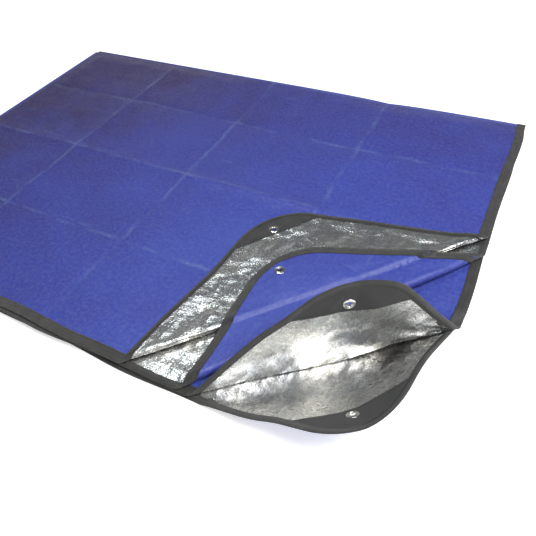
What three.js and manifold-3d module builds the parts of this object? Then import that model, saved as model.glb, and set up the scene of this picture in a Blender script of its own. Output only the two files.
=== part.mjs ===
// Folding reflective blanket, folded in quarters, with its four corners turned up at one end.
// Millimetres, +Z up. X runs along the folded blanket, Y across it, and the blanket lies on Z = 0.
// Inside the group all pieces are placed from the corner where the four bound corners meet:
// that corner is X = 0, Y = 0, the blanket runs to -LENGTH in X and to +WIDTH in Y.
import * as THREE from "three";
import { mergeVertices } from "three/addons/utils/BufferGeometryUtils.js";
import Module from "manifold-3d";

const wasm = await Module();
wasm.setup();

// Overall size of the folded blanket. Open, it is twice as long and twice as wide.
const LENGTH = 1067;
const WIDTH = 762;

// Stack of four layers, the top one first.
const LAYER_PITCH = 3.6;
const FILM = 0.8;
const TAPE_THICKNESS = 2.4;
const BOTTOM_LAYER_Z = TAPE_THICKNESS / 2;

// Edge binding: a tape folded round the edge of the film.
const TAPE_WIDTH = 16;
const TAPE_SLOT = 1.4;
const TAPE_WEB = 2.4;
const FILM_INSET = 3;
const CORNER_RADIUS = 90;
const ARC_STEPS = 16;

// Clearances between separate pieces.
const GAP = 0.3;
const CREASE_GAP = 1;

// Folds: the film and the tape bend round the same centre and reach equally far out.
const TURN_REACH = LAYER_PITCH / 2 + TAPE_THICKNESS / 2;
const BACK_REACH = LAYER_PITCH * 1.5 + TAPE_THICKNESS / 2;
const TURN_FILM = 1;
const PANEL_END = 0.4;

// Corner reinforcement and eyelet.
const PATCH_THICKNESS = 0.7;
const PATCH_ON_FRONT = 116;
const PATCH_ON_SIDE = 104;
const EYELET_X = -56;
const EYELET_Y = 46;
const EYELET_BORE = 3.55;
const EYELET_BARREL = 4.1;
const EYELET_FLANGE = 7.95;
const CLOTH_HOLE = 4.5;
const ROUND_STEPS = 24;

// One entry per layer, top to bottom. The corner turns about the crease that runs from
// creaseFront on the front edge to creaseSide on the side edge, axisLift above the layer.
const LAYERS = [
  { name: "layer1", silverUp: false, creaseFront: 375, creaseSide: 392, axisLift: 2.4, turned: 176 },
  { name: "layer2", silverUp: true, creaseFront: 290, creaseSide: 365, axisLift: 7, turned: 174 },
  { name: "layer3", silverUp: false, creaseFront: 275, creaseSide: 232, axisLift: 1.7, turned: 91 },
  { name: "layer4", silverUp: true, creaseFront: 260, creaseSide: 222, axisLift: 1.7, turned: 30 },
];
LAYERS.forEach((layer, index) => {
  layer.z = BOTTOM_LAYER_Z + LAYER_PITCH * (LAYERS.length - 1 - index);
});

const blueFilm = material(0x3f47a8, 0.45, 0);
const silverFilm = material(0xb4b3b0, 0.3, 0.8);
const charcoalTape = material(0x4a4a48, 0.9, 0);
const blackPatch = material(0x323234, 0.95, 0);
const nickel = material(0xd2d2d0, 0.25, 1);

function material(color, roughness, metalness) {
  return new THREE.MeshStandardMaterial({ color, roughness, metalness });
}

// A three.js geometry as a manifold solid.
function solid(geometry) {
  const bare = geometry.index ? geometry.toNonIndexed() : geometry.clone();
  bare.deleteAttribute("normal");
  bare.deleteAttribute("uv");
  const merged = mergeVertices(bare, 1e-4);
  const mesh = new wasm.Mesh({
    numProp: 3,
    vertProperties: merged.attributes.position.array,
    triVerts: new Uint32Array(merged.index.array),
  });
  return new wasm.Manifold(mesh);
}

// A manifold solid as a three.js geometry.
function geometryOf(manifold) {
  const mesh = manifold.getMesh();
  const geometry = new THREE.BufferGeometry();
  geometry.setAttribute("position", new THREE.BufferAttribute(mesh.vertProperties, 3));
  geometry.setIndex(new THREE.BufferAttribute(mesh.triVerts, 1));
  const flat = geometry.toNonIndexed();
  flat.computeVertexNormals();
  return flat;
}

// A flat shape given a thickness, centred on height z.
function slab(shape, thickness, z) {
  const geometry = new THREE.ExtrudeGeometry(shape, {
    depth: thickness,
    bevelEnabled: false,
    curveSegments: ARC_STEPS,
  });
  geometry.translate(0, 0, z - thickness / 2);
  return solid(geometry);
}

// Plan of one whole layer with its rounded bound corner, drawn in by inset from the bound edges.
function layerPlan(inset) {
  const left = -LENGTH + TURN_REACH + PANEL_END;
  const back = WIDTH - BACK_REACH - PANEL_END;
  const shape = new THREE.Shape();
  shape.moveTo(left, inset);
  shape.lineTo(-CORNER_RADIUS, inset);
  shape.absarc(-CORNER_RADIUS, CORNER_RADIUS, CORNER_RADIUS - inset, -Math.PI / 2, 0, false);
  shape.lineTo(-inset, back);
  shape.lineTo(left, back);
  shape.closePath();
  return shape;
}

// A round plan at the eyelet.
function eyeletPlan(radius) {
  const shape = new THREE.Shape();
  shape.absarc(EYELET_X, EYELET_Y, radius, 0, Math.PI * 2, false);
  return shape;
}

// A block that covers one side of a layer's crease: side 1 is the corner, side -1 the rest.
function creaseSideBlock(layer, side) {
  const size = 4 * LENGTH;
  const crease = creaseOf(layer);
  const block = new THREE.BoxGeometry(size, size, 60);
  block.translate(0, -side * (size / 2 + CREASE_GAP), 0);
  block.rotateZ(Math.atan2(crease.along.y, crease.along.x));
  block.translate(crease.point.x, crease.point.y, layer.z);
  return solid(block);
}

// The crease a layer's corner turns about: a point on it and its direction.
function creaseOf(layer) {
  const point = new THREE.Vector3(-layer.creaseFront, 0, layer.z + layer.axisLift);
  const end = new THREE.Vector3(0, layer.creaseSide, layer.z + layer.axisLift);
  return { point, along: end.sub(point).normalize() };
}

// The film of one layer, whole.
function film(layer) {
  return slab(layerPlan(FILM_INSET), FILM, layer.z);
}

// The binding of one layer's two bound edges, whole: a channel closed at the outer edge.
function binding(layer) {
  const band = slab(layerPlan(0), TAPE_THICKNESS, layer.z);
  const inside = slab(layerPlan(TAPE_WIDTH), TAPE_THICKNESS + 2, layer.z);
  const slot = slab(layerPlan(TAPE_WEB), TAPE_SLOT, layer.z);
  return band.subtract(inside).subtract(slot);
}

// The black patch on the silver side of the corner, inside the binding.
function patch(layer) {
  const silverSide = layer.silverUp ? 1 : -1;
  const inset = TAPE_WIDTH + GAP;
  const reach = CORNER_RADIUS - inset;
  const z = layer.z + silverSide * (FILM / 2 + GAP + PATCH_THICKNESS / 2);
  const shape = new THREE.Shape();
  shape.moveTo(-PATCH_ON_FRONT, inset);
  shape.lineTo(-CORNER_RADIUS, inset);
  shape.absarc(-CORNER_RADIUS, CORNER_RADIUS, reach, -Math.PI / 2, 0, false);
  shape.lineTo(-inset, PATCH_ON_SIDE);
  shape.closePath();
  const hole = slab(eyeletPlan(CLOTH_HOLE), 4 * PATCH_THICKNESS, z);
  return slab(shape, PATCH_THICKNESS, z).subtract(hole);
}

// A ring turned from a profile of radius and height above the film, silver side up.
function turnedRing(layer, profile) {
  const points = profile.map(([radius, height]) => new THREE.Vector2(radius, height));
  points.push(points[0].clone());
  const geometry = new THREE.LatheGeometry(points, ROUND_STEPS);
  geometry.rotateX(Math.PI / 2);
  if (!layer.silverUp) {
    geometry.rotateX(Math.PI);
  }
  geometry.translate(EYELET_X, EYELET_Y, layer.z);
  return solid(geometry);
}

// The eyelet: a domed flange on the patch and a barrel rolled over the washer behind.
function eyelet(layer) {
  const seat = FILM / 2 + GAP + PATCH_THICKNESS + GAP;
  const roll = -FILM / 2 - 1.2;
  return turnedRing(layer, [
    [EYELET_BORE, roll - 0.3],
    [EYELET_BORE + 0.5, roll - 0.6],
    [EYELET_BORE + 1.4, roll - 0.5],
    [EYELET_BORE + 2.1, roll - 0.2],
    [EYELET_BORE + 2.1, roll],
    [EYELET_BARREL, roll],
    [EYELET_BARREL, seat],
    [EYELET_FLANGE, seat],
    [EYELET_FLANGE - 0.1, seat + 0.35],
    [EYELET_FLANGE - 1.1, seat + 0.9],
    [EYELET_FLANGE - 2.7, seat + 1],
    [EYELET_BORE + 0.6, seat + 0.7],
    [EYELET_BORE, seat + 0.2],
  ]);
}

// The washer between the film's blue side and the eyelet's rolled end.
function washer(layer) {
  const top = -FILM / 2 - GAP;
  return turnedRing(layer, [
    [EYELET_BARREL + GAP, top - 0.6],
    [EYELET_FLANGE - 0.7, top - 0.6],
    [EYELET_FLANGE - 0.3, top - 0.35],
    [EYELET_FLANGE - 0.3, top],
    [EYELET_BARREL + GAP, top],
  ]);
}

// A strip bent round an arc: the arc lies in the plane of across and Z, the strip runs along.
// centre is the arc's centre height, reach its outer radius; angles count from straight out.
function bentStrip({ reach, thickness, centre, from, to, steps }) {
  const shape = new THREE.Shape();
  const point = (radius, index) => {
    const angle = THREE.MathUtils.degToRad(from + ((to - from) * index) / steps);
    return [radius * Math.cos(angle), centre + radius * Math.sin(angle)];
  };
  shape.moveTo(...point(reach, 0));
  for (let i = 1; i <= steps; i += 1) {
    shape.lineTo(...point(reach, i));
  }
  for (let i = steps; i >= 0; i -= 1) {
    shape.lineTo(...point(reach - thickness, i));
  }
  shape.closePath();
  return shape;
}

// A left-hand fold that joins an upper and a lower layer, from y0 to y1.
function leftTurn(centre, thickness, y0, y1) {
  const shape = bentStrip({ reach: TURN_REACH, thickness, centre, from: -90, to: 90, steps: 8 });
  const geometry = new THREE.ExtrudeGeometry(shape, { depth: y1 - y0, bevelEnabled: false });
  geometry.rotateX(Math.PI / 2);
  geometry.rotateZ(Math.PI);
  geometry.translate(-LENGTH + TURN_REACH, y0, 0);
  return solid(geometry);
}

// Half of a fold along the back edge, above (1) or below (-1) the middle of the stack.
function backTurn(side, reach, thickness, x0, x1) {
  const centre = BOTTOM_LAYER_Z + LAYER_PITCH * 1.5;
  const clear = THREE.MathUtils.radToDeg(0.2 / reach);
  const [from, to] = side > 0 ? [clear, 90] : [-90, -clear];
  const shape = bentStrip({ reach, thickness, centre, from, to, steps: 5 });
  const geometry = new THREE.ExtrudeGeometry(shape, { depth: x1 - x0, bevelEnabled: false });
  geometry.rotateX(Math.PI / 2);
  geometry.rotateZ(Math.PI / 2);
  geometry.translate(x0, WIDTH - BACK_REACH, 0);
  return solid(geometry);
}

function addPiece(group, name, manifold, look) {
  const mesh = new THREE.Mesh(geometryOf(manifold), look);
  mesh.name = name;
  group.add(mesh);
  return mesh;
}

// The flat part of a layer: its film and the two lengths of binding.
function addPanel(group, layer) {
  const rest = creaseSideBlock(layer, -1);
  addPiece(group, `${layer.name}_panel`, film(layer).intersect(rest), blueFilm);
  const tapes = binding(layer).intersect(rest).decompose();
  const depthOf = (tape) => tape.boundingBox().max[1];
  tapes.sort((a, b) => depthOf(a) - depthOf(b));
  addPiece(group, `${layer.name}_front_binding`, tapes[0], charcoalTape);
  addPiece(group, `${layer.name}_side_binding`, tapes[1], charcoalTape);
}

// The turned corner of a layer, built flat and then turned about its crease.
function addCorner(group, layer) {
  const corner = creaseSideBlock(layer, 1);
  const hole = slab(eyeletPlan(CLOTH_HOLE), 4, layer.z);
  const cloth = film(layer).intersect(corner).subtract(hole);
  const { point, along } = creaseOf(layer);
  const hinge = new THREE.Group();
  hinge.position.copy(point);
  hinge.quaternion.setFromAxisAngle(along, -THREE.MathUtils.degToRad(layer.turned));
  group.add(hinge);
  const pieces = [
    addPiece(hinge, `${layer.name}_corner`, cloth, silverFilm),
    addPiece(hinge, `${layer.name}_corner_binding`, binding(layer).intersect(corner), charcoalTape),
    addPiece(hinge, `${layer.name}_patch`, patch(layer), blackPatch),
    addPiece(hinge, `${layer.name}_eyelet`, eyelet(layer), nickel),
    addPiece(hinge, `${layer.name}_washer`, washer(layer), nickel),
  ];
  for (const piece of pieces) {
    piece.geometry.translate(-point.x, -point.y, -point.z);
  }
}

// The folds along the left edge: one joins layers 1 and 2, the other layers 3 and 4.
function addLeftFolds(group) {
  const back = WIDTH - BACK_REACH - PANEL_END;
  const start = TAPE_WIDTH + GAP;
  [["upper", 2.5], ["lower", 0.5]].forEach(([name, pitches]) => {
    const centre = BOTTOM_LAYER_Z + LAYER_PITCH * pitches;
    addPiece(group, `${name}_left_fold`, leftTurn(centre, TURN_FILM, start, back), blueFilm);
    const tape = leftTurn(centre, TAPE_THICKNESS, 0, TAPE_WIDTH);
    addPiece(group, `${name}_left_fold_binding`, tape, charcoalTape);
  });
}

// The folds along the back edge. Each is two halves that part at the middle of the stack.
function addBackFolds(group) {
  const left = -LENGTH + TURN_REACH + PANEL_END;
  const right = -TAPE_WIDTH - GAP;
  for (const [half, side] of [["upper", 1], ["lower", -1]]) {
    for (const [name, reach] of [["outer", BACK_REACH], ["inner", TURN_REACH]]) {
      const cloth = backTurn(side, reach, TURN_FILM, left, right);
      const tape = backTurn(side, reach, TAPE_THICKNESS, -TAPE_WIDTH, 0);
      addPiece(group, `${name}_back_fold_${half}`, cloth, blueFilm);
      addPiece(group, `${name}_back_fold_binding_${half}`, tape, charcoalTape);
    }
  }
}

function buildBlanket() {
  const blanket = new THREE.Group();
  blanket.name = "folding_blanket";
  blanket.position.set(LENGTH / 2, -WIDTH / 2, 0);
  for (const layer of LAYERS) {
    addPanel(blanket, layer);
    addCorner(blanket, layer);
  }
  addLeftFolds(blanket);
  addBackFolds(blanket);
  return blanket;
}

export default buildBlanket();
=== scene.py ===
"""Looks of the folding reflective blanket: films, bindings, patches and eyelets around the frame.

The blanket is folded in quarters, so four bound corners lie together at one end, and each is
turned up by its own amount. Cloth places are given flat, as (u, v): u is 0 on the right edge and
runs to -LENGTH, v is 0 on the front edge and runs to WIDTH. A layer's shape function lays such
places out in the frame. Metres throughout.
"""

import math

import bpy
import numpy as np
from mathutils import Matrix, Vector, noise
from mathutils.bvhtree import BVHTree
from mathutils.geometry import delaunay_2d_cdt


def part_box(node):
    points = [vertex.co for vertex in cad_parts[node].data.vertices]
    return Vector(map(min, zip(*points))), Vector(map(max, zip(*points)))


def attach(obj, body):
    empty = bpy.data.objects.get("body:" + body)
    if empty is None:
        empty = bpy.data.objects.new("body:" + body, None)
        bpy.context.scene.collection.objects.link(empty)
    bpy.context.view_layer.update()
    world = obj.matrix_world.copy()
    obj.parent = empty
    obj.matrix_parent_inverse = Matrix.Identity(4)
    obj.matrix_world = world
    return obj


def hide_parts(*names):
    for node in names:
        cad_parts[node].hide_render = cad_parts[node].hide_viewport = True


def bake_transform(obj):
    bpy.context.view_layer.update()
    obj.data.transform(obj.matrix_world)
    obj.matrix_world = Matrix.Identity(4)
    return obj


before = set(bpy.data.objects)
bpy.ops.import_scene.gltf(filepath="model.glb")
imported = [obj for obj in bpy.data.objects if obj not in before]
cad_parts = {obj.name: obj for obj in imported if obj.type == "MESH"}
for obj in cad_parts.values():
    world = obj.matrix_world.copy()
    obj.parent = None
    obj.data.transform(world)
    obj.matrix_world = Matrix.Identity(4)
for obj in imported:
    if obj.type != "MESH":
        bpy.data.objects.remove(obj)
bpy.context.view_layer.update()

# ---------------------------------------------------------------- sizes from the frame

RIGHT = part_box("layer1_side_binding")[1].x
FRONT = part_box("layer1_front_binding")[0].y
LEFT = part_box("upper_left_fold_binding")[0].x
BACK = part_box("outer_back_fold_binding_upper")[1].y
LENGTH = RIGHT - LEFT
WIDTH = BACK - FRONT


def middle_height(node):
    low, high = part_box(node)
    return (low.z + high.z) / 2


LAYERS = (1, 2, 3, 4)
LAYER_Z = {n: middle_height(f"layer{n}_panel") for n in LAYERS}
PITCH = LAYER_Z[1] - LAYER_Z[2]
# A fold's middle line lies this far inside the box, just over half a tape's thickness.
FOLD_INSET = 0.0012
TURN_REACH = PITCH / 2 + FOLD_INSET
BACK_REACH = PITCH * 1.5 + FOLD_INSET

# ---------------------------------------------------------------- driving sizes of the cloth

FILM = 0.0005
TAPE_WIDTH = 0.0152
SILVER_SIDE_SHARE = 0.64  # the tape is narrower on the silver side, by this share
TAPE_HALF = 0.00115
EDGE_INSET = 0.0022  # from the tape's outer edge in to the film's cut edge
CORNER_RADIUS = 0.090
EYELET = np.array([-0.056, 0.046])
CLOTH_HOLE = 0.0042
PATCH_ON_FRONT = 0.122
PATCH_ON_SIDE = 0.110
LEG = 0.006  # flat cloth that a fold takes from each of its layers
LEFT_END = -LENGTH + TURN_REACH + LEG
BACK_END = WIDTH - BACK_REACH - LEG
CELL_U = LENGTH / 4
CELL_V = WIDTH / 4

# Soft creases. front and side are the crease's ends on the bound edges. A rolled corner lies back
# on the blanket: high_front, high_side and arch give the roll's height along the crease, short_*
# how far the rucked film is drawn in, tip the height of the corner. A raised corner leans at
# lean_front to lean_side degrees past a bend whose radii, at the places RADII_AT along the
# crease, are in radii. shear slides the corner along its crease, and start is a small lift.
ROLLED = {
    1: dict(front=0.387, side=0.4225, high_front=0.008, high_side=0.006, arch=0.003,
            short_front=0.74, short_side=0.79, shear=0.096, tip=0.006, start=0.0),
    2: dict(front=0.301, side=0.3843, high_front=0.012, high_side=0.008, arch=0.006,
            short_front=0.65, short_side=0.88, shear=0.092, tip=0.014, start=0.0006),
}
RAISED = {
    3: dict(front=0.284, side=0.232, radii=(0.004, 0.001, 0.001, 0.006, 0.004),
            lean_front=95, lean_side=90, shear=0.09, start=0.0),
    4: dict(front=0.261, side=0.262, radii=(0.004, 0.056, 0.118, 0.002, 0.004),
            lean_front=33, lean_side=41, shear=-0.14, start=0.0),
}
RADII_AT = (0.0, 0.2, 0.5, 0.8, 1.0)
CORNERS = {**ROLLED, **RAISED}
BLUE_UP = {1: True, 2: False, 3: True, 4: False}
PAIR = {1: "upper_pair", 2: "upper_pair", 3: "lower_pair", 4: "lower_pair"}
SETTLE = 0.150  # past its roll, a rolled corner settles to its tip's height over this length


# ---------------------------------------------------------------- smooth numbers

def ramp(x):
    x = np.clip(x, 0.0, 1.0)
    return x * x * (3 - 2 * x)


def cloth_noise(u, v, size, seed):
    """Smooth noise from -1 to 1 over flat places, about size across."""
    return np.array([noise.noise((a / size, b / size, seed)) for a, b in zip(u, v)])


def ridge_noise(u, v, size, seed):
    """Sharp little ridges from 0 to 1, about size apart."""
    return 1 - np.abs(2 * cloth_noise(u, v, size, seed))


def scattered(box, step, seed, jitter=0.18):
    """Staggered rows of places over a box, jittered so that no line shows."""
    (u0, v0), (u1, v1) = box
    rows = int((v1 - v0) / (step * 0.87))
    count = int((u1 - u0) / step)
    rng = np.random.default_rng(seed)
    grid = np.array([(u0 + step * (c + 0.5 * (r % 2)), v0 + step * 0.87 * r)
                     for r in range(rows + 1) for c in range(count + 1)])
    return grid + rng.uniform(-jitter, jitter, grid.shape) * step


def facet_field(step, seed, low=(-LENGTH - 0.1, -0.1)):
    """Flat facets with sharp edges between random heights from -1 to 1, as a tree to look up."""
    places = scattered((low, (0.15, WIDTH + 0.15)), step, seed, 0.40)
    heights = np.random.default_rng(seed + 1).uniform(-1, 1, len(places))
    found = delaunay_2d_cdt([Vector(p) for p in places], [], [], 0, 1e-7)
    points = [Vector((p.x, p.y, high)) for p, high in zip(found[0], heights)]
    return BVHTree.FromPolygons(points, found[2])


def facet_heights(field, u, v):
    down = Vector((0, 0, -1))
    hits = (field.ray_cast(Vector((a, b, 5.0)), down)[0] for a, b in zip(u, v))
    return np.array([0.0 if hit is None else hit.z for hit in hits])


# ---------------------------------------------------------------- shape of a layer

# How strongly each packing crease stands up, or down, counted from the right and from the front.
FOLDS_ACROSS = ((1, 1.0), (2, -0.6), (3, 0.8))
FOLDS_ALONG = ((1, -0.5), (2, 1.0), (3, -0.7))
EASE = 0.05  # length over which the relief comes and goes


def crease_section(away, sharpness):
    """A packing crease's height: a sharp fold with a shallow dip beside it."""
    return 0.0024 * np.exp(-away / sharpness) - 0.0006 * np.exp(-away / 0.06)


def packing_relief(u, v):
    """Height of the flat blanket over its layer: packing creases and the swell between them."""
    height = 0.0026 + 0.0012 * np.sin(9.0 * u + 4.0 * v) + 0.0008 * np.sin(5.5 * v - 14.0 * u + 1.0)
    for line, fold in FOLDS_ACROSS:
        height = height + fold * crease_section(np.abs(u + line * CELL_U), 0.016)
    for line, fold in FOLDS_ALONG:
        height = height + fold * crease_section(np.abs(v - line * CELL_V), 0.014)
    # One crease stands up sharper over its second cell.
    band = ramp((u + 2.05 * CELL_U) / EASE) * ramp((-0.95 * CELL_U - u) / EASE)
    height = height + 0.0036 * band * np.exp(-np.abs(v - 2 * CELL_V + 0.004) / 0.009)
    held = ramp((u + LENGTH) / EASE) * ramp((WIDTH - v) / EASE)
    return np.maximum(height, 0.0002) * held


def pressed_together(layer, uv):
    """How far layers 3 and 4 push each other up along layer 3's crease.

    Layer 4 rises to meet the crease. Near the side edge, where the corner of layer 4 starts to
    rise before the crease, it lifts the crease instead.
    """
    if layer not in (3, 4):
        return 0.0
    past, run, length = crease_places(3, uv)
    share = np.clip(run / length, 0, 1)
    if layer == 4:
        within = ramp(run / 0.05) * ramp((length - run) / 0.05)
        return 0.0019 * np.exp(-np.abs(past / 0.014) ** 1.5) * within
    return 0.0136 * ramp((share - 0.54) / 0.26) * ramp(1 + past / 0.036)


# How much of the packing relief shows in each layer.
RELIEF_SHARE = {1: 1.0, 2: 0.6, 3: 0.3, 4: 0.05}


def crease_axes(corner):
    """Start of the crease, its length, its direction, and the direction away from the corner."""
    p, q = np.array([-corner["front"], 0.0]), np.array([0.0, corner["side"]])
    length = np.linalg.norm(q - p)
    along = (q - p) / length
    return p, length, along, np.array([-along[1], along[0]])


def crease_places(layer, uv):
    """How far places are past the crease, towards the corner, and how far along it."""
    p, length, along, away = crease_axes(CORNERS[layer])
    return -(uv - p) @ away, (uv - p) @ along, length


def roll_height(corner, share):
    """Height of a rolled corner's roll, at a share of the way along its crease."""
    peak = np.sqrt(np.clip(4 * share * (1 - share), 0, None))
    high = corner["high_front"] + (corner["high_side"] - corner["high_front"]) * share
    return high + corner["arch"] * peak


def rolled(layer, uv):
    """A corner that rolls over and lies back on the blanket."""
    corner = ROLLED[layer]
    p, length, along, away = crease_axes(corner)
    past, run, _ = crease_places(layer, uv)
    share = np.clip(run / length, 0, 1)
    high = roll_height(corner, share)
    radius = high / 2
    short = corner["short_front"] + (corner["short_side"] - corner["short_front"]) * share
    turn = np.clip(past, 0, math.pi * radius) / radius
    rest = np.maximum(past - math.pi * radius, 0)
    ahead = np.where(past < 0, past, radius * np.sin(turn) - short * rest)
    fall = (1 - np.cos(math.pi * np.clip(rest / SETTLE, 0, 1))) / 2
    up = np.where(rest > 0, high + (np.minimum(corner["tip"], high) - high) * fall,
                  radius * (1 - np.cos(turn)))
    up = np.where(past < 0, 0, up)
    run = run + corner["shear"] * np.maximum(past, 0)
    flat = p + run[:, None] * along - ahead[:, None] * away
    return flat, up, past


def raised(layer, uv):
    """A corner that bends up round a soft roll and goes on straight."""
    corner = RAISED[layer]
    p, length, along, away = crease_axes(corner)
    past, run, _ = crease_places(layer, uv)
    share = np.clip(run / length, 0, 1)
    radius = smooth_curve(share, RADII_AT, corner["radii"])
    lean = np.radians(corner["lean_front"] + (corner["lean_side"] - corner["lean_front"]) * share)
    turn = np.clip(past / radius, 0, lean)
    rest = np.maximum(past - radius * lean, 0)
    ahead = np.where(past < 0, past, radius * np.sin(turn) + rest * np.cos(lean))
    up = np.where(past < 0, 0, radius * (1 - np.cos(turn)) + rest * np.sin(lean))
    run = run + corner["shear"] * np.maximum(past, 0)
    flat = p + run[:, None] * along - ahead[:, None] * away
    return flat, up, past


def smooth_curve(x, knots, values):
    """A curve through the values at the knots, flat at each so that it never overshoots."""
    knots, values = np.array(knots), np.array(values)
    i = np.clip(np.searchsorted(knots, x) - 1, 0, len(knots) - 2)
    share = ramp((x - knots[i]) / (knots[i + 1] - knots[i]))
    return values[i] + (values[i + 1] - values[i]) * share


def under(tree, x, y):
    """Height of the surface in tree straight below a place, or None."""
    hit = tree.ray_cast(Vector((x, y, 1.0)), Vector((0, 0, -1)))[0]
    return None if hit is None else hit.z


def drawn_in(u):
    """How far the back fold is drawn in near its first packing crease."""
    return 0.0075 * np.exp(-np.abs(u + CELL_U) / 0.055)


# The flap of the layer above, by layer, as a tree of its surface, once that flap is made.
below_flap = {}


def edge_wander(layer, uv):
    """How far the cut and bound edges stray from straight, in the plane of the cloth."""
    u, v = uv[:, 0], uv[:, 1]
    reach, past_corner = 0.10, 0.06
    by_front = 0.0026 * np.sin(11.0 * u + 2.1 * layer) + 0.0014 * np.sin(31.0 * u + layer)
    by_side = 0.0024 * np.sin(9.0 * v + 1.7 * layer) + 0.0012 * np.sin(27.0 * v + 2.0 * layer)
    front = ramp(1 - v / reach) * ramp((u + LENGTH) / EASE) * ramp((-u - reach) / past_corner)
    side = ramp(1 + u / reach) * ramp((BACK_END - v) / EASE) * ramp((v - reach) / past_corner)
    return np.column_stack([by_side * side, by_front * front])


def lay_out(layer, uv):
    """Frame places of flat places on a layer, without the small wrinkles."""
    uv = np.atleast_2d(uv)
    uv = uv + edge_wander(layer, uv)
    flat, up, past = (rolled if layer in ROLLED else raised)(layer, uv)
    flat[:, 1] -= drawn_in(uv[:, 0]) * ramp((uv[:, 1] - 0.40) / (BACK_END - 0.40))
    relief = RELIEF_SHARE[layer] * packing_relief(uv[:, 0], uv[:, 1]) * ramp(1 - past / 0.08)
    z = LAYER_Z[layer] + CORNERS[layer]["start"] * ramp(past / 0.01) + relief + up
    z = z + pressed_together(layer, uv)
    if layer in below_flap:
        z = rest_on(below_flap[layer], flat, z, past)
    return np.column_stack([flat[:, 0] + RIGHT, flat[:, 1] + FRONT, z])


def rest_on(tree, flat, z, past):
    """Lifts a flap clear of the flap that it lies on."""
    clear, soft = 0.0042, 0.004
    lifted = z.copy()
    for i in np.nonzero(past > 0.002)[0]:
        low = under(tree, flat[i, 0] + RIGHT, flat[i, 1] + FRONT)
        if low is not None:
            gap = z[i] - low - clear
            lifted[i] = low + clear + (gap + math.sqrt(gap * gap + soft * soft)) / 2
    return lifted


def normals(layer, uv, step=0.0015):
    """Unit normals of a layer at flat places, on the side that is up when it lies flat."""
    du = lay_out(layer, uv + [step, 0]) - lay_out(layer, uv - [step, 0])
    dv = lay_out(layer, uv + [0, step]) - lay_out(layer, uv - [0, step])
    n = np.cross(du, dv)
    return n / np.maximum(np.linalg.norm(n, axis=1), 1e-12)[:, None]


CORNER_AREA = (-0.55, -0.1)
BROAD = {n: facet_field(0.085, 40 + n) for n in LAYERS}
CRUSHED = {n: facet_field(0.052, 50 + n, CORNER_AREA) for n in LAYERS}
SHARP = {n: facet_field(0.016, 60 + n, CORNER_AREA) for n in LAYERS}
CRUSH = {1: 0.0036, 2: 0.0016, 3: 0.0034, 4: 0.0018}  # height of the facets on each corner
# Pulled folds that spread from a crease's end: at the front or the side, how many in a half
# circle, how high and how far they reach.
PULLS = {
    1: [("side", 15, 0.0022, 0.130), ("front", 13, 0.0024, 0.120)],
    2: [("side", 17, 0.0028, 0.190), ("front", 11, 0.0010, 0.080)],
    3: [("side", 19, 0.0044, 0.200), ("front", 13, 0.0030, 0.170)],
    4: [("side", 13, 0.0020, 0.130), ("front", 15, 0.0020, 0.150)],
}


def pulled(layer, u, v):
    """Folds that spread like a fan from the ends of the crease, where the film is pinched."""
    height = np.zeros(len(u))
    for end, count, high, reach in PULLS[layer]:
        corner = CORNERS[layer]
        centre = (-corner["front"], 0.0) if end == "front" else (0.0, corner["side"])
        away = np.hypot(u - centre[0], v - centre[1])
        angle = np.arctan2(v - centre[1], u - centre[0])
        uneven = angle + 0.12 * np.sin(3.1 * angle + 17 * away)
        fan = np.abs(((uneven * count / math.pi) % 2) - 1) * 2 - 1
        height = height + high * fan * ramp(away / 0.035) * ramp(1 - away / reach)
    return height


def wrinkles(layer, uv):
    """Small displacement along the normal: crushed facets, and pulls round the crease's ends."""
    u, v = uv[:, 0], uv[:, 1]
    past, _, _ = crease_places(layer, uv)
    from_edge = np.minimum(np.minimum(-u, v), np.minimum(u + LENGTH, WIDTH - v))
    inside_edge = 0.15 + 0.85 * ramp((from_edge - 0.006) / 0.035)
    turned = ramp(past / 0.030)
    height = 0.0008 * facet_heights(BROAD[layer], u, v)
    height = height + 0.0004 * (ridge_noise(u, v, 0.060, 3.0 + layer) - 0.5)
    near = np.nonzero((u > CORNER_AREA[0]) & (v < 0.6))[0]
    fold = np.zeros(len(u))
    fold[near] = (CRUSH[layer] * facet_heights(CRUSHED[layer], u[near], v[near])
                  + 0.22 * CRUSH[layer] * facet_heights(SHARP[layer], u[near], v[near]))
    fold = fold + pulled(layer, u, v)
    return inside_edge * (height * (1 - 0.5 * turned) + fold * (0.12 + 0.88 * turned))


def surface(layer, uv):
    """Frame places of flat places on a layer, wrinkles included, and their normals."""
    place, normal = lay_out(layer, uv), normals(layer, uv)
    return place + wrinkles(layer, uv)[:, None] * normal, normal


# ---------------------------------------------------------------- outlines, flat

def corner_arc(inset):
    """The rounded corner from the front edge to the side edge."""
    a = np.radians(np.linspace(-90, 0, 25))
    r = CORNER_RADIUS - inset
    return np.column_stack([-CORNER_RADIUS + r * np.cos(a), CORNER_RADIUS + r * np.sin(a)])


def bound_edge(inset, start_u, end_v):
    """The bound edge from start_u on the front, round the corner, to end_v on the side."""
    return np.vstack([[[start_u, inset]], corner_arc(inset), [[-inset, end_v]]])


def evenly(path, step):
    """A path with points about step apart, its own points kept."""
    out = [path[0]]
    for a, b in zip(path[:-1], path[1:]):
        n = max(1, int(round(np.linalg.norm(b - a) / step)))
        out += [a + (b - a) * k / n for k in range(1, n + 1)]
    return np.array(out)


def split_line(layer, inset=0.0, step=0.004):
    """Where a rolled corner leaves its panel: the foremost line of the roll, front to side."""
    corner = ROLLED[layer]
    p, length, along, away = crease_axes(corner)
    run = np.linspace(-0.1, 1.1, 1201) * length
    past = roll_height(corner, np.clip(run / length, 0, 1)) / 2 * math.pi / 2
    line = p + run[:, None] * along - past[:, None] * away
    keep = (line[:, 1] > inset) & (line[:, 0] < -inset)
    line = line[keep]
    line[0, 1], line[-1, 0] = inset, -inset
    count = max(3, int(length / step))
    return line[np.linspace(0, len(line) - 1, count).round().astype(int)]


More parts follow.
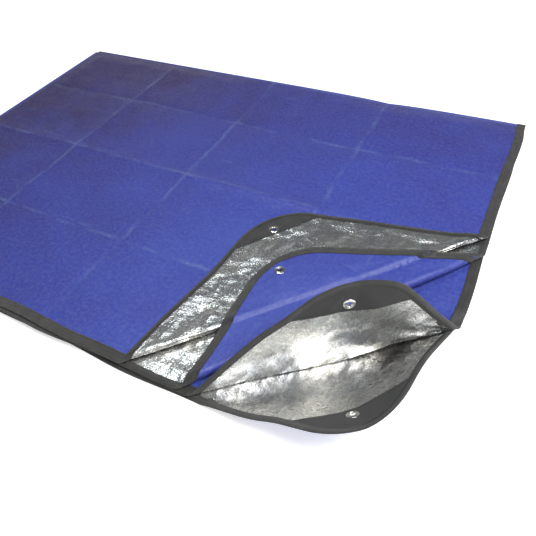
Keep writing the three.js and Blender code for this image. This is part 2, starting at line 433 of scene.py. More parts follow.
# ---------------------------------------------------------------- mesh building

def new_piece(name, verts, faces, materials, uvs=None, smooth=True):
    """A mesh object; uvs are the flat places of its vertices."""
    mesh = bpy.data.meshes.new(name)
    mesh.from_pydata([tuple(map(float, p)) for p in verts], [], [tuple(map(int, f)) for f in faces])
    piece = bpy.data.objects.new(name, mesh)
    bpy.context.scene.collection.objects.link(piece)
    for material in materials:
        mesh.materials.append(material)
    if uvs is not None:
        layer = mesh.uv_layers.new(name="cloth")
        index = np.zeros(len(mesh.loops), np.int32)
        mesh.loops.foreach_get("vertex_index", index)
        layer.data.foreach_set("uv", np.asarray(uvs, np.float32)[index].ravel())
    mesh.polygons.foreach_set("use_smooth", [smooth] * len(mesh.polygons))
    mesh.update()
    return piece


def inside(polygon, points):
    """Which points are inside a polygon."""
    a, b = polygon, np.roll(polygon, -1, axis=0)
    hit = np.zeros(len(points), bool)
    for (x0, y0), (x1, y1) in zip(a, b):
        if y0 == y1:
            continue
        crosses = (points[:, 1] > y0) != (points[:, 1] > y1)
        x = x0 + (points[:, 1] - y0) * (x1 - x0) / (y1 - y0)
        hit ^= crosses & (points[:, 0] < x)
    return hit


def near_line(polygon, points, reach):
    """Which points are within reach of a polygon's outline."""
    close = np.zeros(len(points), bool)
    for a, b in zip(polygon, np.roll(polygon, -1, axis=0)):
        d = b - a
        t = np.clip(((points - a) @ d) / max(d @ d, 1e-18), 0, 1)
        close |= np.linalg.norm(points - a - t[:, None] * d, axis=1) < reach
    return close


def twice_area(flat, faces):
    """Twice the area of each flat triangle, below 0 where it is turned over."""
    a, b, c = (flat[faces[:, k]] for k in range(3))
    return (b[:, 0] - a[:, 0]) * (c[:, 1] - a[:, 1]) - (b[:, 1] - a[:, 1]) * (c[:, 0] - a[:, 0])


def triangles(outline, points, hole=None):
    """Flat triangles over an outline, with a round hole left open."""
    loops = [outline] if hole is None else [outline, hole]
    coords = np.vstack(loops + [points])
    edges, first = [], 0
    for loop in loops:
        n = len(loop)
        edges += [(first + k, first + (k + 1) % n) for k in range(n)]
        first += n
    found = delaunay_2d_cdt([Vector(c) for c in coords], edges, [], 0, 1e-7, False)
    flat = np.array([tuple(v) for v in found[0]])
    faces = np.array([f for f in found[2] if len(f) == 3])
    middle = flat[faces].mean(axis=1)
    keep = inside(outline, middle)
    if hole is not None:
        keep &= ~inside(hole, middle)
    faces = faces[keep]
    turned = twice_area(flat, faces) < 0
    faces[turned] = faces[turned][:, ::-1]
    used, index = np.unique(faces, return_inverse=True)
    return flat[used], index.reshape(-1, 3)


NEAR_U, NEAR_V = 0.50, 0.52  # the part of a layer, from its corner, that is meshed finely
PAST_BEND = (0.002, 0.004, 0.006, 0.0085, 0.0115)  # rows of points just past a corner's bend


def film_points(layer, outline, near_step, far_step):
    """Places inside an outline: rows along the crease, close together near the turned corner."""
    close = scattered(((-NEAR_U, 0.0), (0.0, NEAR_V)), near_step, 10 + layer)
    far = scattered(((-LENGTH, 0.0), (0.0, WIDTH)), far_step, 20 + layer)
    far = far[(far[:, 0] < -NEAR_U) | (far[:, 1] > NEAR_V)]
    points = np.vstack([close, far])
    corner = CORNERS[layer]
    p, length, along, away = crease_axes(corner)
    rows = []
    run = np.arange(-0.02, length + 0.02, near_step * 0.9)
    share = np.clip(run / length, 0, 1)
    if layer in ROLLED:
        bend = roll_height(corner, share) / 2 * math.pi
    else:
        radius = smooth_curve(share, RADII_AT, corner["radii"])
        bend = radius * np.radians(corner["lean_front"])
    for part in np.linspace(0, 1, 13):
        rows.append(p + run[:, None] * along - (bend * part)[:, None] * away)
    for further in PAST_BEND:
        rows.append(p + run[:, None] * along - (bend + further)[:, None] * away)
    past, place, _ = crease_places(layer, points)
    width = np.interp(place, run, bend) + PAST_BEND[-1]
    points = points[(past < -0.5 * near_step) | (past > width + 0.5 * near_step)]
    points = np.vstack([points] + rows)
    points = points[inside(outline, points)]
    return points[~near_line(outline, points, 0.35 * near_step)]


def round_hole(centre, radius, count=24):
    a = np.linspace(0, 2 * math.pi, count, endpoint=False)
    return np.column_stack([centre[0] + radius * np.cos(a), centre[1] + radius * np.sin(a)])


def film_piece(name, layer, outline, near_step, far_step, hole):
    """One sheet of film with its two sides, cut to a flat outline."""
    points = film_points(layer, outline, near_step, far_step)
    ring = None
    if hole:
        ring = round_hole(EYELET, CLOTH_HOLE)
        away = np.linalg.norm(points - EYELET, axis=1)
        points = points[away > CLOTH_HOLE * 1.3]
    flat, faces = triangles(outline, points, ring)
    place, _ = surface(layer, flat)
    sides = [blue, silver] if BLUE_UP[layer] else [silver, blue]
    piece = new_piece(name, place, faces, sides, flat)
    thicken(piece, FILM, 1)
    return piece, flat, place, faces


def thicken(piece, thickness, back_slot=0):
    solid = piece.modifiers.new("thickness", "SOLIDIFY")
    solid.thickness = thickness
    solid.offset = 0.0
    solid.material_offset = back_slot
    solid.material_offset_rim = back_slot
    solid.use_even_offset = False


# ---------------------------------------------------------------- materials

def shader(name):
    material = bpy.data.materials.new(name)
    material.use_nodes = True
    tree = material.node_tree
    bsdf = next(n for n in tree.nodes if n.type == "BSDF_PRINCIPLED")
    return material, tree, bsdf


def node(tree, kind, **values):
    """A new node; each value is set on the input of its name, or else on the node itself."""
    made = tree.nodes.new(kind)
    for key, value in values.items():
        if key in made.inputs:
            made.inputs[key].default_value = value
        else:
            setattr(made, key.lower(), value)
    return made


def link(tree, a, out, b, into):
    tree.links.new(a.outputs[out], b.inputs[into])


def colour_ramp(tree, source, output, stops):
    """Colours along a value; each stop is a place from 0 to 1 and its colour."""
    made = tree.nodes.new("ShaderNodeValToRGB")
    marks = made.color_ramp.elements
    while len(marks) < len(stops):
        marks.new(0.5)
    for mark, (place, colour) in zip(marks, stops):
        mark.position = place
        mark.color = (*colour, 1.0)
    link(tree, source, output, made, "Fac")
    return made


# A place is a pair of a node and its output, which gives a texture its coordinates.

def cloth_place(tree):
    """Flat places on the cloth, in metres."""
    made = tree.nodes.new("ShaderNodeUVMap")
    made.uv_map = "cloth"
    return made, "UV"


def object_place(tree):
    return tree.nodes.new("ShaderNodeTexCoord"), "Object"


def slanted_place(tree, place, turn, stretch):
    """A place turned and stretched, so that a texture runs at a slant."""
    made = node(tree, "ShaderNodeMapping", Rotation=(0.0, 0.0, turn), Scale=(*stretch, 1.0))
    link(tree, *place, made, "Vector")
    return made, "Vector"


def clouded(tree, place, scale, detail=2.0, roughness=0.5):
    """Soft noise."""
    made = node(tree, "ShaderNodeTexNoise", Scale=scale, Detail=detail, Roughness=roughness)
    link(tree, *place, made, "Vector")
    return made


def pebbled(tree, place, scale):
    """Small cells, for embossing and for the facets of crumpled film."""
    made = node(tree, "ShaderNodeTexVoronoi", Scale=scale)
    link(tree, *place, made, "Vector")
    return made


def threaded(tree, place, direction, size, unevenness):
    """Raised threads side by side along X or Y, which repeat at 0.63 of the size given."""
    made = node(tree, "ShaderNodeTexWave", Scale=1.0 / size / 2, Distortion=unevenness)
    made.bands_direction = direction
    link(tree, *place, made, "Vector")
    return made


def split_place(tree, place):
    made = tree.nodes.new("ShaderNodeSeparateXYZ")
    link(tree, *place, made, "Vector")
    return made


def bumped(tree, bsdf, sources):
    """Stacks bumps: each source is (node, output, strength, distance)."""
    last = None
    for source, output, strength, distance in sources:
        bump = node(tree, "ShaderNodeBump", Strength=strength, Distance=distance)
        link(tree, source, output, bump, "Height")
        if last is not None:
            link(tree, last, "Normal", bump, "Normal")
        last = bump
    link(tree, last, "Normal", bsdf, "Normal")


def math_node(tree, operation, a, b=None):
    """A math node; each input is a number or a (node, output) pair."""
    made = tree.nodes.new("ShaderNodeMath")
    made.operation = operation
    for slot, value in enumerate((a, b)):
        if isinstance(value, tuple):
            link(tree, value[0], value[1], made, slot)
        elif value is not None:
            made.inputs[slot].default_value = value
    return made


def map_range(tree, source, output, low, high, to_low, to_high):
    made = node(tree, "ShaderNodeMapRange")
    for name, value in (("From Min", low), ("From Max", high), ("To Min", to_low),
                        ("To Max", to_high)):
        made.inputs[name].default_value = value
    link(tree, source, output, made, "Value")
    return made


def painted(tree, bsdf, tint, amount, colour):
    """The base colour: a tint, and a colour over it where the amount says."""
    over = node(tree, "ShaderNodeMix")
    over.data_type = "RGBA"
    under_slot, over_slot, colour_out = 6, 7, 2
    link(tree, amount, "Value", over, "Factor")
    link(tree, tint, "Color", over, under_slot)
    over.inputs[over_slot].default_value = (*colour, 1.0)
    link(tree, over, colour_out, bsdf, "Base Color")


def crease_mark(tree, uv, half_width):
    """1 on the packing creases, 0 elsewhere, broken up so that it comes and goes."""
    split = split_place(tree, uv)
    wander = clouded(tree, uv, 14.0)
    broken = clouded(tree, uv, 22.0, 3.0, 0.6)
    shift = map_range(tree, wander, "Fac", 0.3, 0.7, -0.003, 0.003)
    marks = []
    for axis, cell in (("X", CELL_U), ("Y", CELL_V)):
        moved = math_node(tree, "ADD", (split, axis), (shift, "Result"))
        away = math_node(tree, "PINGPONG", (moved, "Value"), cell / 2)
        marks.append(map_range(tree, away, "Value", 0.0, half_width, 1.0, 0.0))
    both = math_node(tree, "MAXIMUM", (marks[0], "Result"), (marks[1], "Result"))
    patchy = map_range(tree, broken, "Fac", 0.42, 0.62, 0.1, 1.0)
    return math_node(tree, "MULTIPLY", (both, "Value"), (patchy, "Result"))


def blue_tone_and_painted_shade(tree, uv):
    """Where the blue lies between deep violet and clear blue: painted shade, darker and more violet
    towards the left and the back, with a random cloudy tone over it.
    """
    split = split_place(tree, uv)
    clouds = clouded(tree, uv, 7.0, 5.0, 0.62)
    # Painted shade: darker and more violet towards the left and towards the back.
    painted_shade_left = map_range(tree, split, "X", -LENGTH, -0.35 * LENGTH, 0.05, 0.62)
    painted_shade_back = map_range(tree, split, "Y", 0.40 * WIDTH, WIDTH, 0.0, -0.40)
    cloudy = map_range(tree, clouds, "Fac", 0.25, 0.75, -0.14, 0.30)
    painted_shade = math_node(tree, "ADD", (painted_shade_left, "Result"), (painted_shade_back, "Result"))
    return math_node(tree, "ADD", (painted_shade, "Value"), (cloudy, "Result"))


def wear_and_painted_sheen(tree, uv):
    """1 where paler blue is painted along the packing creases and in long slanted streaks: partly
    rubbed wear, partly painted sheen.
    """
    mark = crease_mark(tree, uv, 0.0055)
    streak = clouded(tree, slanted_place(tree, uv, 0.6, (7.0, 42.0)), 1.0, 4.0, 0.55)
    streaked = map_range(tree, streak, "Fac", 0.66, 0.80, 0.0, 0.8)
    return math_node(tree, "MAXIMUM", (mark, "Value"), (streaked, "Result"))


def make_blue():
    """Blue woven film with a soft shine, glossier along its packing creases, with paler blue
    painted there and in streaks, partly wear and partly painted sheen, and painted shade towards
    the left and the back.
    """
    material, tree, bsdf = shader("blue_film")
    uv = cloth_place(tree)
    pebble = pebbled(tree, uv, 420.0)
    fine = clouded(tree, uv, 300.0, 3.0, 0.6)
    scuff = clouded(tree, uv, 38.0, 4.0, 0.65)
    fibre = clouded(tree, uv, 170.0, 4.0, 0.7)
    warp = threaded(tree, uv, "X", 0.0021, 1.0)
    weft = threaded(tree, uv, "Y", 0.0021, 1.0)
    # The dark violet low end of this ramp is painted shade; the cloudy spread over the rest is the
    # film's own uneven blue.
    tint = colour_ramp(tree, blue_tone_and_painted_shade(tree, uv), "Value",
                       [(0.00, (0.024, 0.010, 0.090)), (0.30, (0.031, 0.030, 0.215)),
                        (0.65, (0.033, 0.046, 0.290)), (1.0, (0.040, 0.066, 0.330))])
    # Paler blue painted along the creases and streaks: partly wear, partly painted sheen.
    mark = wear_and_painted_sheen(tree, uv)
    mottled = map_range(tree, fibre, "Fac", 0.42, 0.68, 0.0, 0.20)
    worn = math_node(tree, "MULTIPLY", (mark, "Value"), 0.30)
    amount = math_node(tree, "ADD", (worn, "Value"), (mottled, "Result"))
    painted(tree, bsdf, tint, amount, (0.15, 0.22, 0.42))
    gloss = map_range(tree, scuff, "Fac", 0.3, 0.7, 0.33, 0.46)
    rubbed_gloss = math_node(tree, "MULTIPLY", (mark, "Value"), 0.14)
    even = math_node(tree, "SUBTRACT", (gloss, "Result"), (rubbed_gloss, "Value"))
    link(tree, even, "Value", bsdf, "Roughness")
    bsdf.inputs["Specular IOR Level"].default_value = 0.45
    bumped(tree, bsdf, [(scuff, "Fac", 0.25, 0.002), (warp, "Fac", 0.25, 0.0003),
                        (weft, "Fac", 0.25, 0.0003), (pebble, "Distance", 0.30, 0.0008),
                        (fine, "Fac", 0.45, 0.0010)])
    return material


def make_silver():
    """Metallised film: an embossed pebble over soft lumps and the facets of crumpling."""
    material, tree, bsdf = shader("silver_film")
    uv = cloth_place(tree)
    broad = pebbled(tree, slanted_place(tree, uv, 0.5, (16.0, 44.0)), 1.0)
    small = pebbled(tree, slanted_place(tree, uv, -0.9, (95.0, 50.0)), 1.0)
    pebble = pebbled(tree, uv, 560.0)
    pebble.feature = "SMOOTH_F1"
    lumps = clouded(tree, uv, 150.0, 4.0, 0.65)
    folds = clouded(tree, uv, 34.0)
    clouds = clouded(tree, uv, 14.0)
    tint = colour_ramp(tree, clouds, "Fac",
                       [(0.35, (0.47, 0.48, 0.49)), (0.65, (0.63, 0.62, 0.59))])
    link(tree, tint, "Color", bsdf, "Base Color")
    bsdf.inputs["Metallic"].default_value = 0.95
    gloss = map_range(tree, lumps, "Fac", 0.0, 1.0, 0.20, 0.34)
    link(tree, gloss, "Result", bsdf, "Roughness")
    bumped(tree, bsdf, [(broad, "Distance", 0.40, 0.006), (small, "Distance", 0.22, 0.003),
                        (folds, "Fac", 0.16, 0.004), (lumps, "Fac", 0.22, 0.0012),
                        (pebble, "Distance", 0.40, 0.0009)])
    return material


def stitches(tree, split, lines):
    """1 on the stitches of a tape's two seams, which lie lines in from its outer edge."""
    pitch, gap, half_width = 0.0032, 0.0008, 0.00045
    dash = math_node(tree, "PINGPONG", (split, "X"), pitch / 2)
    thread = math_node(tree, "GREATER_THAN", (dash, "Value"), gap / 2)
    rows = []
    for line in lines:
        away = math_node(tree, "SUBTRACT", (split, "Y"), line)
        near = math_node(tree, "ABSOLUTE", (away, "Value"))
        rows.append(math_node(tree, "LESS_THAN", (near, "Value"), half_width))
    both = math_node(tree, "MAXIMUM", (rows[0], "Value"), (rows[1], "Value"))
    return math_node(tree, "MULTIPLY", (both, "Value"), (thread, "Value"))


def make_tape():
    """Charcoal ribbed tape with a row of stitches near the inner edge of each of its sides."""
    material, tree, bsdf = shader("charcoal_tape")
    uv = cloth_place(tree)
    rib = threaded(tree, uv, "X", 0.0014, 0.6)
    cross = threaded(tree, uv, "Y", 0.0011, 0.4)
    worn = clouded(tree, uv, 60.0, 4.0)
    tint = colour_ramp(tree, worn, "Fac",
                       [(0.30, (0.017, 0.017, 0.016)), (0.75, (0.038, 0.038, 0.036))])
    from_inner = 0.0022
    lines = (TAPE_WIDTH * SILVER_SIDE_SHARE - from_inner, TAPE_WIDTH - from_inner)
    seam = stitches(tree, split_place(tree, uv), lines)
    painted(tree, bsdf, tint, seam, (0.008, 0.008, 0.008))
    bsdf.inputs["Roughness"].default_value = 0.85
    bsdf.inputs["Sheen Weight"].default_value = 0.15
    bumped(tree, bsdf, [(rib, "Fac", 0.5, 0.0005), (cross, "Fac", 0.4, 0.0005)])
    return material


def make_patch():
    """Matt black woven cloth, slightly worn."""
    material, tree, bsdf = shader("black_patch")
    uv = cloth_place(tree)
    warp = threaded(tree, uv, "X", 0.0016, 0.8)
    weft = threaded(tree, uv, "Y", 0.0016, 0.8)
    worn = clouded(tree, uv, 45.0, 4.0)
    tint = colour_ramp(tree, worn, "Fac",
                       [(0.30, (0.014, 0.014, 0.015)), (0.75, (0.030, 0.030, 0.032))])
    link(tree, tint, "Color", bsdf, "Base Color")
    bsdf.inputs["Roughness"].default_value = 0.9
    bsdf.inputs["Sheen Weight"].default_value = 0.1
    bumped(tree, bsdf, [(warp, "Fac", 0.5, 0.0006), (weft, "Fac", 0.5, 0.0006)])
    return material


def make_nickel():
    """Bright plated metal, slightly uneven."""
    material, tree, bsdf = shader("nickel")
    worn = clouded(tree, object_place(tree), 900.0, 3.0)
    tint = colour_ramp(tree, worn, "Fac",
                       [(0.35, (0.62, 0.61, 0.58)), (0.65, (0.74, 0.73, 0.70))])
    link(tree, tint, "Color", bsdf, "Base Color")
    bsdf.inputs["Metallic"].default_value = 1.0
    bsdf.inputs["Roughness"].default_value = 0.22
    bumped(tree, bsdf, [(worn, "Fac", 0.08, 0.0002)])
    return material


blue = make_blue()
silver = make_silver()
tape = make_tape()
patch_cloth = make_patch()
nickel = make_nickel()


# ---------------------------------------------------------------- bindings

# The tape's section: distance in from the edge, and height over the film's middle.
TAPE_SECTION = [
    (TAPE_WIDTH, 0.00035), (TAPE_WIDTH + 0.0002, 0.00075), (TAPE_WIDTH - 0.0012, 0.0010),
    (0.0125, 0.00085), (0.0080, TAPE_HALF), (0.0030, TAPE_HALF), (0.0008, 0.0009),
    (-0.0001, 0.0004), (-0.0001, -0.0004), (0.0008, -0.0009), (0.0030, -TAPE_HALF),
    (0.0080, -TAPE_HALF), (0.0125, -0.00085), (TAPE_WIDTH - 0.0012, -0.0010),
    (TAPE_WIDTH + 0.0002, -0.00075), (TAPE_WIDTH, -0.00035), (0.0012, -0.00035), (0.0012, 0.00035),
]


def tape_piece(name, layer, path):
    """A tape folded round a layer's edge along a flat path, the film on the path's left."""
    path = evenly(path, 0.004)
    heading = np.gradient(path, axis=0)
    heading /= np.linalg.norm(heading, axis=1)[:, None]
    inward = np.column_stack([-heading[:, 1], heading[:, 0]])
    length = np.concatenate([[0], np.cumsum(np.linalg.norm(np.diff(path, axis=0), axis=1))])
    wander = 0.0006 * np.array([noise.noise((s / 0.05, layer, 5.0)) for s in length])
    pucker = 1 + 0.10 * np.array([noise.noise((s / 0.008, layer, 9.0)) for s in length])
    verts, uvs = [], []
    for across, height in TAPE_SECTION:
        if across > 0.010 and (height > 0) != BLUE_UP[layer]:
            across *= SILVER_SIDE_SHARE
        flat = path + (across + wander * (across > 0.01))[:, None] * inward
        clamped = path + max(across, 0.0) * inward
        _, normal = surface(layer, clamped)
        place = lay_out(layer, flat) + wrinkles(layer, clamped)[:, None] * normal
        verts.append(place + (height * pucker)[:, None] * normal)
        uvs.append(np.column_stack([length, np.full(len(length), across)]))
    rings, count = len(TAPE_SECTION), len(path)
    verts = np.stack(verts, axis=1).reshape(-1, 3)
    uvs = np.stack(uvs, axis=1).reshape(-1, 2)
    faces = [(i * rings + k, i * rings + (k + 1) % rings,
              (i + 1) * rings + (k + 1) % rings, (i + 1) * rings + k)
             for i in range(count - 1) for k in range(rings)]
    faces += [tuple(range(rings))[::-1], tuple((count - 1) * rings + k for k in range(rings))]
    return new_piece(name, verts, faces, [tape], uvs)


# ---------------------------------------------------------------- corner hardware

def patch_outline():
    arc = corner_arc(0.004)
    return evenly(np.vstack([[[-PATCH_ON_FRONT, 0.004]], arc, [[-0.004, PATCH_ON_SIDE]]]), 0.004)


def patch_piece(name, layer):
    """The corner's reinforcement, sewn to the silver side."""
    outline = patch_outline()
    outline = np.vstack([outline, evenly(np.array([outline[-1], outline[0]]), 0.004)[1:-1]])
    points = scattered(((-PATCH_ON_FRONT, 0.0), (0.0, PATCH_ON_SIDE)), 0.004, 31)
    points = points[inside(outline, points)]
    points = points[~near_line(outline, points, 0.0015)]
    points = points[np.linalg.norm(points - EYELET, axis=1) > CLOTH_HOLE * 1.3]
    flat, faces = triangles(outline, points, round_hole(EYELET, CLOTH_HOLE))
    place, normal = surface(layer, flat)
    side = -1.0 if BLUE_UP[layer] else 1.0
    piece = new_piece(name, place + side * 0.0006 * normal, faces, [patch_cloth], flat)
    thicken(piece, 0.0005)
    return piece


# Rings of the eyelet: radius and height over the cloth's middle, closed on itself.
EYELET_SECTION = [
    (0.00355, 0.0012), (0.00375, 0.0019), (0.00430, 0.0023), (0.00500, 0.0023), (0.00610, 0.0020),
    (0.00720, 0.0016), (0.00780, 0.0013), (0.00795, 0.0010), (0.00780, 0.0008), (0.00440, 0.0008),
    (0.00410, 0.0006), (0.00410, -0.0016), (0.00355, -0.0016),
]
WASHER_SECTION = [
    (0.00430, -0.0009), (0.00780, -0.0008), (0.00795, -0.0010), (0.00780, -0.0013),
    (0.00640, -0.0016), (0.00520, -0.0021), (0.00450, -0.0022), (0.00420, -0.0018),
]


def turned_ring(name, layer, section, up, teeth=0):
    """A ring turned round the eyelet's axis, seated on the cloth."""
    centre, normal = surface(layer, EYELET[None])
    centre, normal = centre[0], normal[0] * up
    across = np.cross(normal, (0.0, 0.0, 1.0) if abs(normal[2]) < 0.9 else (1.0, 0.0, 0.0))
    across /= np.linalg.norm(across)
    other = np.cross(normal, across)
    count = 48
    verts = []
    for k in range(count):
        a = 2 * math.pi * k / count
        wave = 1 + teeth * 0.02 * math.cos(12 * a)
        ray = math.cos(a) * across + math.sin(a) * other
        verts += [centre + ray * r * (wave if r > 0.007 else 1) + normal * h for r, h in section]
    rings = len(section)
    faces = [(k * rings + i, ((k + 1) % count) * rings + i,
              ((k + 1) % count) * rings + (i + 1) % rings, k * rings + (i + 1) % rings)
             for k in range(count) for i in range(rings)]
    piece = new_piece(name, verts, faces, [nickel])
    soften = piece.modifiers.new("rounding", "SUBSURF")
    soften.levels = soften.render_levels = 1
    return piece


# ---------------------------------------------------------------- folds at the left and the back

def half_turn_piece(name, reach, middle_z, radius, thickness, start, end, facing, sides):
    """Cloth that turns from one layer to another: two short legs and a half round between them.

    facing is "left" or "back"; start and end are where it runs along the fold, flat; sides are
    the materials outside and inside the turn.
    """
    count = max(2, int(abs(end - start) / 0.02))
    line = np.linspace(start, end, count + 1)
    angles = np.radians(np.linspace(90, -90, 13))
    section = [(-LEG, radius)] + [(radius * math.cos(a), radius * math.sin(a)) for a in angles]
    section = np.array(section + [(-LEG, -radius)])
    along = np.concatenate([[0], np.cumsum(np.linalg.norm(np.diff(section, axis=0), axis=1))])
    verts, uvs = [], []
    for s in line:
        for (out, up), arc in zip(section, along):
            if facing == "left":
                verts.append((LEFT + reach - out, FRONT + s, middle_z + up))
            else:
                verts.append((RIGHT + s, BACK - reach + out - drawn_in(s), middle_z + up))
            uvs.append((s, arc))
    rings = len(section)
    faces = [((i + 1) * rings + k, (i + 1) * rings + k + 1, i * rings + k + 1, i * rings + k)
             for i in range(count) for k in range(rings - 1)]
    piece = new_piece(name, verts, faces, sides, uvs)
    thicken(piece, thickness, 1)
    return piece


# ---------------------------------------------------------------- the four layers


# The pieces made for each layer, by what they are; a film comes with its flat and laid points.
pieces_of = {n: {} for n in LAYERS}


def build_rolled(layer, near_step, far_step):
    """A layer whose corner is rolled back: panel and flap part along the roll's front."""
    name, back = f"layer{layer}", BACK_END
    made = pieces_of[layer]
    line = split_line(layer, EDGE_INSET)
    panel = np.vstack([evenly(np.array([[LEFT_END, EDGE_INSET], line[0]]), 0.006)[:-1], line,
                       evenly(np.array([line[-1], [-EDGE_INSET, back], [LEFT_END, back],
                                        [LEFT_END, EDGE_INSET]]), 0.006)[1:-1]])
    arc = corner_arc(EDGE_INSET)
    rim = evenly(np.vstack([[line[0]], arc, [line[-1]]]), 0.004)
    flap = np.vstack([rim, line[::-1][1:-1]])
    made["panel"] = film_piece(f"{name}_panel_film", layer, panel, near_step, far_step, False)
    made["flap"] = film_piece(f"{name}_corner_film", layer, flap, min(near_step, 0.004),
                              far_step, True)
    edge = split_line(layer, 0.0)
    front, side = edge[0], edge[-1]
    made["front_tape"] = tape_piece(f"{name}_front_tape", layer,
                                    np.array([[LEFT_END, 0.0], front]))
    made["corner_tape"] = tape_piece(f"{name}_corner_tape", layer,
                                     np.vstack([[front], corner_arc(0.0), [side]]))
    made["side_tape"] = tape_piece(f"{name}_side_tape", layer, np.array([side, [0.0, back]]))


def build_raised(layer, near_step, far_step):
    """A layer whose corner is raised: one sheet and one tape right round."""
    name, back = f"layer{layer}", BACK_END
    made = pieces_of[layer]
    outline = np.vstack([bound_edge(EDGE_INSET, LEFT_END, back), [[LEFT_END, back]]])
    outline = evenly(np.vstack([outline, outline[:1]]), 0.005)[:-1]
    made["film"] = film_piece(f"{name}_film", layer, outline, near_step, far_step, True)
    made["tape"] = tape_piece(f"{name}_tape", layer, bound_edge(0.0, LEFT_END, back))


def build_corner_hardware(layer):
    name, made = f"layer{layer}", pieces_of[layer]
    inner = -1.0 if BLUE_UP[layer] else 1.0
    made["patch"] = patch_piece(f"{name}_corner_patch", layer)
    made["eyelet"] = turned_ring(f"{name}_eyelet_ring", layer, EYELET_SECTION, inner)
    made["washer"] = turned_ring(f"{name}_washer_ring", layer, WASHER_SECTION, inner, 1)


def flap_tree(layer):
    _, _, place, faces = pieces_of[layer]["flap"]
    return BVHTree.FromPolygons([Vector(p) for p in place], [tuple(map(int, f)) for f in faces])


build_rolled(1, 0.005, 0.006)
below_flap[2] = flap_tree(1)
build_rolled(2, 0.005, 0.020)
build_raised(3, 0.005, 0.020)
build_raised(4, 0.005, 0.020)
for number in LAYERS:
    build_corner_hardware(number)

# ---------------------------------------------------------------- folds

folds = {}
for pair, top in (("upper", 1), ("lower", 3)):
    middle_z = (LAYER_Z[top] + LAYER_Z[top + 1]) / 2
    folds[f"{pair}_left"] = half_turn_piece(
        f"{pair}_left_fold_film", TURN_REACH, middle_z, PITCH / 2, FILM,
        EDGE_INSET, BACK_END, "left", [blue, silver])
    folds[f"{pair}_left_tape"] = half_turn_piece(
        f"{pair}_left_fold_tape", TURN_REACH, middle_z, PITCH / 2, 2 * TAPE_HALF,
        0.0, TAPE_WIDTH, "left", [tape, tape])
for kind, top, bottom, sides in (("outer", 1, 4, [blue, silver]), ("inner", 2, 3, [silver, blue])):
    middle_z = (LAYER_Z[top] + LAYER_Z[bottom]) / 2
    radius = (LAYER_Z[top] - LAYER_Z[bottom]) / 2
    folds[f"{kind}_back"] = half_turn_piece(
        f"{kind}_back_fold_film", BACK_REACH, middle_z, radius, FILM,
        LEFT_END, -EDGE_INSET, "back", sides)
    folds[f"{kind}_back_tape"] = half_turn_piece(
        f"{kind}_back_fold_tape", BACK_REACH, middle_z, radius, 2 * TAPE_HALF,
        -TAPE_WIDTH, 0.0, "back", [tape, tape])

# ---------------------------------------------------------------- bodies and nodes


def belongs(piece, nodes, body=None):
    if body:
        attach(piece, body)
    else:
        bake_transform(piece)
    if nodes:
        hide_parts(*nodes)


for number in LAYERS:
    made, name, pair, corner = pieces_of[number], f"layer{number}", PAIR[number], f"corner_{number}"
    belongs(made["patch"], [f"{name}_patch"], body=corner)
    belongs(made["eyelet"], [f"{name}_eyelet"], body=corner)
    belongs(made["washer"], [f"{name}_washer"], body=corner)
    if number in ROLLED:
        belongs(made["panel"][0],
                [f"{name}_panel"], body=pair)
        belongs(made["flap"][0],
                [f"{name}_corner"])
        belongs(made["front_tape"], [f"{name}_front_binding"], body=pair)
        belongs(made["side_tape"], [f"{name}_side_binding"], body=pair)
        belongs(made["corner_tape"], [f"{name}_corner_binding"])
    else:
        belongs(made["film"][0],
                [f"{name}_panel", f"{name}_corner"])
        belongs(made["tape"],
                [f"{name}_front_binding", f"{name}_side_binding", f"{name}_corner_binding"])

for pair in ("upper", "lower"):
    belongs(folds[f"{pair}_left"], [f"{pair}_left_fold"], body=f"{pair}_pair")
    belongs(folds[f"{pair}_left_tape"], [f"{pair}_left_fold_binding"],
            body=f"{pair}_pair")
for kind, top, bottom in (("outer", 1, 4), ("inner", 2, 3)):
    belongs(folds[f"{kind}_back"],
            [f"{kind}_back_fold_upper", f"{kind}_back_fold_lower"])
    belongs(folds[f"{kind}_back_tape"],
            [f"{kind}_back_fold_binding_upper", f"{kind}_back_fold_binding_lower"])


for number in LAYERS:
    made = pieces_of[number]

# ---------------------------------------------------------------- stage, lights and camera

def make_floor():
    size, below = 25.0, 0.0005
    floor = new_piece("floor", [(-size, -size, 0), (size, -size, 0), (size, size, 0),
                                (-size, size, 0)], [(0, 1, 2, 3)], [], None, False)
    material, tree, bsdf = shader("pale_floor")
    uneven = clouded(tree, object_place(tree), 3.0)
    tint = colour_ramp(tree, uneven, "Fac", [(0.3, (0.86, 0.86, 0.86)), (0.7, (0.88, 0.88, 0.88))])
    link(tree, tint, "Color", bsdf, "Base Color")
    bsdf.inputs["Roughness"].default_value = 0.95
    bsdf.inputs["Emission Color"].default_value = (1.0, 1.0, 1.0, 1.0)
    bsdf.inputs["Emission Strength"].default_value = 0.42
    floor.data.materials.append(material)
    floor.location.z = -below


def soft_light(name, place, target, size, power, colour=(1, 1, 1)):
    data = bpy.data.lights.new(name, "AREA")
    data.shape = "RECTANGLE"
    data.size, data.size_y = size
    data.energy = power
    data.color = colour
    lamp = bpy.data.objects.new(name, data)
    bpy.context.scene.collection.objects.link(lamp)
    lamp.location = place
    lamp.rotation_euler = (Vector(target) - Vector(place)).to_track_quat("-Z", "Y").to_euler()


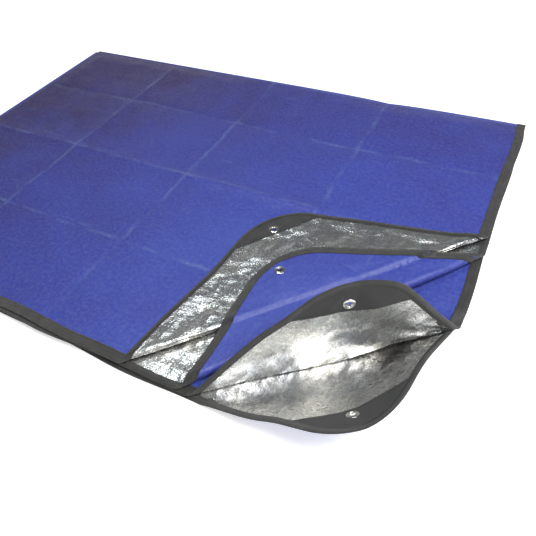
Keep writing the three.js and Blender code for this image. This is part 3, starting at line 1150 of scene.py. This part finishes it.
def make_lights():
    soft_light("key", (1.05, -0.25, 1.45), (0.35, -0.15, 0), (0.7, 0.7), 27, (1.0, 0.99, 0.97))
    soft_light("front", (0.1, -1.9, 1.3), (0.2, -0.2, 0), (1.2, 0.4), 9, (1.0, 0.98, 0.94))
    soft_light("sheen", (-0.45, 0.32, 2.3), (0.1, 0.0, 0), (0.5, 0.35), 12, (0.90, 0.97, 1.0))
    soft_light("rim", (-1.6, 1.9, 0.75), (0.1, 0.0, 0), (0.9, 0.16), 0.8, (0.95, 0.98, 1.0))
    data = bpy.data.lights.new("sun", "SUN")
    data.energy = 0.8
    data.angle = math.radians(35)
    sun = bpy.data.objects.new("sun", data)
    bpy.context.scene.collection.objects.link(sun)
    sun.rotation_euler = Vector((-0.55, 0.25, -1.0)).to_track_quat("-Z", "Y").to_euler()
    make_world()


def make_world():
    """A pale studio wall low down, and a dim ceiling over it for the silver to reflect."""
    world = bpy.data.worlds.new("studio")
    bpy.context.scene.world = world
    world.use_nodes = True
    tree = world.node_tree
    back = tree.nodes["Background"]
    place = tree.nodes.new("ShaderNodeTexCoord")
    split = tree.nodes.new("ShaderNodeSeparateXYZ")
    link(tree, place, "Generated", split, "Vector")
    shade = colour_ramp(tree, split, "Z",
                        [(0.0, (0.76, 0.76, 0.76)), (0.20, (0.60, 0.61, 0.62)),
                         (0.40, (0.11, 0.12, 0.13)), (1.0, (0.08, 0.09, 0.10))])
    link(tree, shade, "Color", back, "Color")
    back.inputs["Strength"].default_value = 1.0


def make_camera():
    """A camera over the front edge, a little right of the turned corners, looking back and left."""
    pitch, yaw, roll = (math.radians(a) for a in (46.56, -32.18, -6.59))
    ahead = Vector((math.sin(yaw) * math.cos(pitch), math.cos(yaw) * math.cos(pitch),
                    -math.sin(pitch)))
    right = Vector((math.cos(yaw), -math.sin(yaw), 0.0))
    up = right.cross(ahead)
    right_rolled = math.cos(roll) * right + math.sin(roll) * up
    up_rolled = math.cos(roll) * up - math.sin(roll) * right
    data = bpy.data.cameras.new("camera")
    data.sensor_width = 36.0
    data.lens = 34.81
    camera = bpy.data.objects.new("camera", data)
    bpy.context.scene.collection.objects.link(camera)
    turn = Matrix((right_rolled, up_rolled, -ahead)).transposed()
    place = Matrix.Translation((RIGHT + 0.0045, FRONT - 0.224, 0.5819))
    camera.matrix_world = place @ turn.to_4x4()
    bpy.context.scene.camera = camera


make_floor()
make_lights()
make_camera()
bpy.context.scene.view_settings.view_transform = "Standard"
